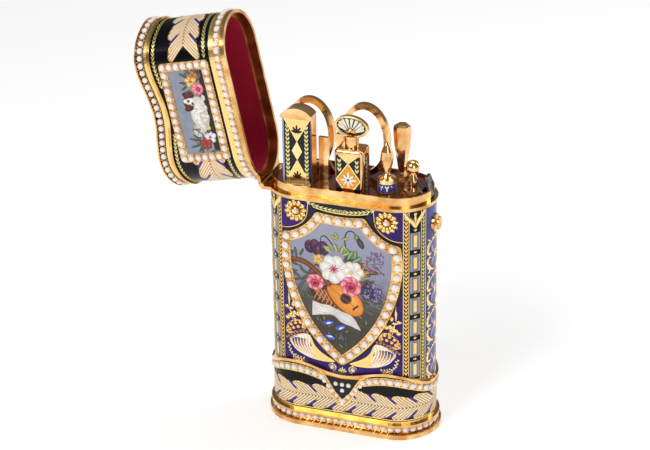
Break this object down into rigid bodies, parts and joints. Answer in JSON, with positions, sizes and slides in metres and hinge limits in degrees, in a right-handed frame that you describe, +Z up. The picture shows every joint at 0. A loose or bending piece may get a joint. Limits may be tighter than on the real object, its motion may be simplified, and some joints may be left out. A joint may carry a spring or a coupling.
{
  "type": "etui",
  "caption": "Oval standing etui in gold and enamel set with half pearls, with a hinged lid open over a fitted set of sewing and toilet implements.",
  "frame": {"origin": "centre of the underside of the foot", "axes": "+Z up, +X along the width towards the push button, the hinge at -X, the front faces -Y"},
  "size_m": [0.0936, 0.027, 0.1303],
  "materials": {
    "gold": "polished yellow gold",
    "gold_inner": "plain polished gold",
    "gold_tools": "polished rose gold",
    "purple_enamel": "translucent violet enamel",
    "blue_enamel": "translucent blue enamel",
    "black_enamel": "black champleve enamel",
    "grey_enamel": "painted grey blue enamel",
    "painted_enamel": "painted enamel plaque",
    "pearl": "half pearls",
    "tortoiseshell": "polished dark red brown",
    "velvet": "crimson velvet",
    "steel": "blued steel",
    "glass": "clear"
  },
  "bodies": {
    "case": {"base_plate": "gold_inner", "foot_rim": "gold", "foot_pearls": "pearl", "plinth_band": "gold", "plinth_moulding": "gold", "plinth_pearls": "pearl", "body_shell": "gold_inner", "front_panel": "purple_enamel", "back_panel": "purple_enamel", "end_panels": "blue_enamel", "corner_pilasters": "grey_enamel", "leaf_borders": "black_enamel", "shield_frames": "gold", "front_plaque": "painted_enamel", "back_plaque": "painted_enamel", "shield_pearls": "pearl", "rosettes": "gold", "mouth_collar": "gold_inner", "insert_block": "tortoiseshell", "insert_deck": "tortoiseshell", "stiletto_sheath": "gold_inner", "fixing_pins": "steel", "body_hinge_leaf": "gold_inner", "hinge_pin": "gold_inner", "button_bush": "gold", "catch_bracket": "steel"},
    "lid": {"lid_shell": "gold_inner", "lid_lip": "gold", "lid_enamel": "black_enamel", "lid_top_panel": "purple_enamel", "lid_top_rim": "gold", "lid_moulding": "gold", "lid_row_pearls": "pearl", "lid_plaque_frames": "gold", "lid_plaques": "painted_enamel", "lid_plaque_pearls": "pearl", "lid_strike": "gold_inner", "lid_lining": "velvet", "lid_hinge_leaf": "gold_inner"},
    "button": {"push_button": "gold"},
    "catch": {"steel_catch": "steel"},
    "scissors": {"scissor_half_right": "gold_tools", "scissor_screw": "steel"},
    "scissors_left": {"scissor_half_left": "gold_tools"},
    "needle_case": {"needle_case": "gold_tools", "needle_case_hinge_pin": "steel", "needles": "steel"},
    "needle_cap": {"needle_case_cap": "gold_tools"},
    "bottle": {"bottle_case": "gold_tools", "bottle_glass": "glass"},
    "stopper": {"stopper": "gold_tools"},
    "bodkin": {"bodkin_handle": "gold_tools", "bodkin_blade": "steel"},
    "stiletto": {"stiletto_handle": "gold_tools", "stiletto_spike": "steel"},
    "tambour_hook": {"hook_handle": "gold_tools", "hook_needle": "steel"},
    "file": {"file_handle": "gold_tools", "file_blade": "steel"},
    "tweezers": {"tweezers": "gold_tools"}
  },
  "joints": [
    {"name": "lid_hinge", "type": "hinge", "parent": "case", "child": "lid", "pos_m": [-0.02655, 0, 0.0784], "axis": [0, -1, 0], "range_deg": [-102, 0]},
    {"name": "button_push", "type": "slide", "parent": "case", "child": "button", "axis": [-1, 0, 0], "range_m": [0, 0.0006], "stiffness_N_per_m": 400},
    {"name": "catch_swing", "type": "hinge", "parent": "case", "child": "catch", "pos_m": [0.0236, 0, 0.056], "axis": [0, -1, 0], "range_deg": [0, 3.2]},
    {"name": "scissors_lift", "type": "slide", "parent": "case", "child": "scissors", "axis": [0, 0, 1], "range_m": [0, 0.03]},
    {"name": "scissors_open", "type": "hinge", "parent": "scissors", "child": "scissors_left", "pos_m": [-0.0061, 0.0039, 0.0745], "axis": [0, -1, 0], "range_deg": [0, 10]},
    {"name": "needle_case_lift", "type": "slide", "parent": "case", "child": "needle_case", "axis": [0, 0, 1], "range_m": [0, 0.03]},
    {"name": "needle_cap_hinge", "type": "hinge", "parent": "needle_case", "child": "needle_cap", "pos_m": [-0.02022, -0.0048, 0.1013], "axis": [0, -1, 0], "range_deg": [0, 100]},
    {"name": "bottle_lift", "type": "slide", "parent": "case", "child": "bottle", "axis": [0, 0, 1], "range_m": [0, 0.03]},
    {"name": "stopper_pull", "type": "slide", "parent": "bottle", "child": "stopper", "axis": [0, 0, 1], "range_m": [0, 0.008]},
    {"name": "bodkin_lift", "type": "slide", "parent": "case", "child": "bodkin", "axis": [0, 0, 1], "range_m": [0, 0.03]},
    {"name": "stiletto_lift", "type": "slide", "parent": "case", "child": "stiletto", "axis": [0, 0, 1], "range_m": [0, 0.03]},
    {"name": "hook_lift", "type": "slide", "parent": "case", "child": "tambour_hook", "axis": [0, 0, 1], "range_m": [0, 0.03]},
    {"name": "file_lift", "type": "slide", "parent": "case", "child": "file", "axis": [0, 0, 1], "range_m": [0, 0.03]},
    {"name": "tweezers_lift", "type": "slide", "parent": "case", "child": "tweezers", "axis": [0, 0, 1], "range_m": [0, 0.03]}
  ],
  "couplings": [
    {"joint": "catch_swing", "follows": "button_push", "rad_per_m": 70.922}
  ]
}
